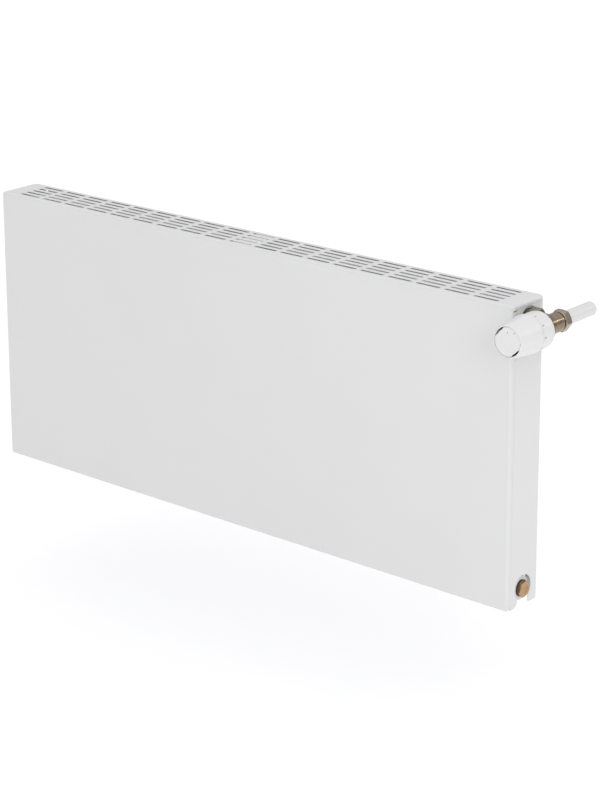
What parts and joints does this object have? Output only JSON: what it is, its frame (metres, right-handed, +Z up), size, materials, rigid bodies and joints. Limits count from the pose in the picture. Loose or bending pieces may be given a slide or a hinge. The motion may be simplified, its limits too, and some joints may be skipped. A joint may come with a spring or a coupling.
{
  "type": "radiator with thermostatic valve",
  "caption": "White flat-front panel radiator with a slotted top grille, closed sides, a thermostatic valve and pipe stub at its upper right port, and brass plugs.",
  "frame": {"origin": "on the centre line, level with the bottom edge, in the plane of the hanging lugs' back faces", "axes": "+X along the radiator to the valve end, -Y out of the flat front into the room, +Z up"},
  "size_m": [0.9684, 0.178, 0.403],
  "materials": {
    "casing_paint": "white powder coat, satin",
    "panel_paint": "white powder coat over pressed steel",
    "support_plastic": "white moulded",
    "head_plastic": "white moulded, fine satin",
    "clamp_plastic": "black moulded",
    "brass": "turned, slightly tarnished",
    "nickel_plate": "dull nickel plate with a warm cast",
    "pipe_coating": "white lacquered pipe",
    "seal_rubber": "matt black",
    "spring_steel": "bright",
    "capsule_metal": "plain drawn"
  },
  "bodies": {
    "radiator": {"front_panel": "casing_paint", "side_cover_right": "casing_paint", "side_cover_left": "casing_paint", "top_grille": "casing_paint", "grille_support": "support_plastic", "front_water_panel": "panel_paint", "rear_water_panel": "panel_paint", "convector_fins": "panel_paint", "tee_bottom_right": "panel_paint", "tee_bottom_left": "panel_paint", "tee_top_right": "panel_paint", "tee_top_left": "panel_paint", "hanging_lug_lower_left": "panel_paint", "hanging_lug_upper_left": "panel_paint", "hanging_lug_lower_right": "panel_paint", "hanging_lug_upper_right": "panel_paint", "blank_plug": "brass", "blank_plug_seal": "seal_rubber", "vent_plug": "brass", "vent_plug_seal": "seal_rubber", "tailpiece": "nickel_plate", "union_nut": "nickel_plate", "valve_body": "nickel_plate", "compression_nut": "brass", "olive": "brass", "supply_pipe": "pipe_coating", "valve_insert": "nickel_plate", "gland_nut": "brass", "clamp_ring": "clamp_plastic", "head_base": "head_plastic"},
    "handwheel": {"handwheel": "head_plastic", "front_cap": "head_plastic"},
    "sensor": {"sensor_capsule": "capsule_metal", "push_pin": "head_plastic", "overtravel_spring": "spring_steel"},
    "valve_stem": {"valve_pin": "spring_steel", "valve_cone": "brass", "cone_seal": "seal_rubber", "valve_spring": "spring_steel"},
    "vent_screw": {"vent_screw": "brass"}
  },
  "joints": [
    {"name": "handwheel_turn", "type": "hinge", "parent": "radiator", "child": "handwheel", "pos_m": [0.485, -0.1, 0.378], "axis": [0, 1, 0], "range_deg": [-150, 150]},
    {"name": "sensor_shift", "type": "slide", "parent": "radiator", "child": "sensor", "axis": [0, 1, 0], "range_m": [-0.0012, 0.0012], "deforming": ["overtravel_spring"]},
    {"name": "stem_lift", "type": "slide", "parent": "radiator", "child": "valve_stem", "axis": [0, 1, 0], "range_m": [-0.0012, 0.0012], "deforming": ["valve_spring"]},
    {"name": "vent_screw_turn", "type": "hinge", "parent": "radiator", "child": "vent_screw", "pos_m": [-0.455, -0.0405, 0.378], "axis": [1, 0, 0], "range_deg": [-360, 0]}
  ],
  "couplings": [
    {"joint": "sensor_shift", "follows": "handwheel_turn", "m_per_rad": 0.00045},
    {"joint": "stem_lift", "follows": "handwheel_turn", "m_per_rad": 0.00045}
  ]
}
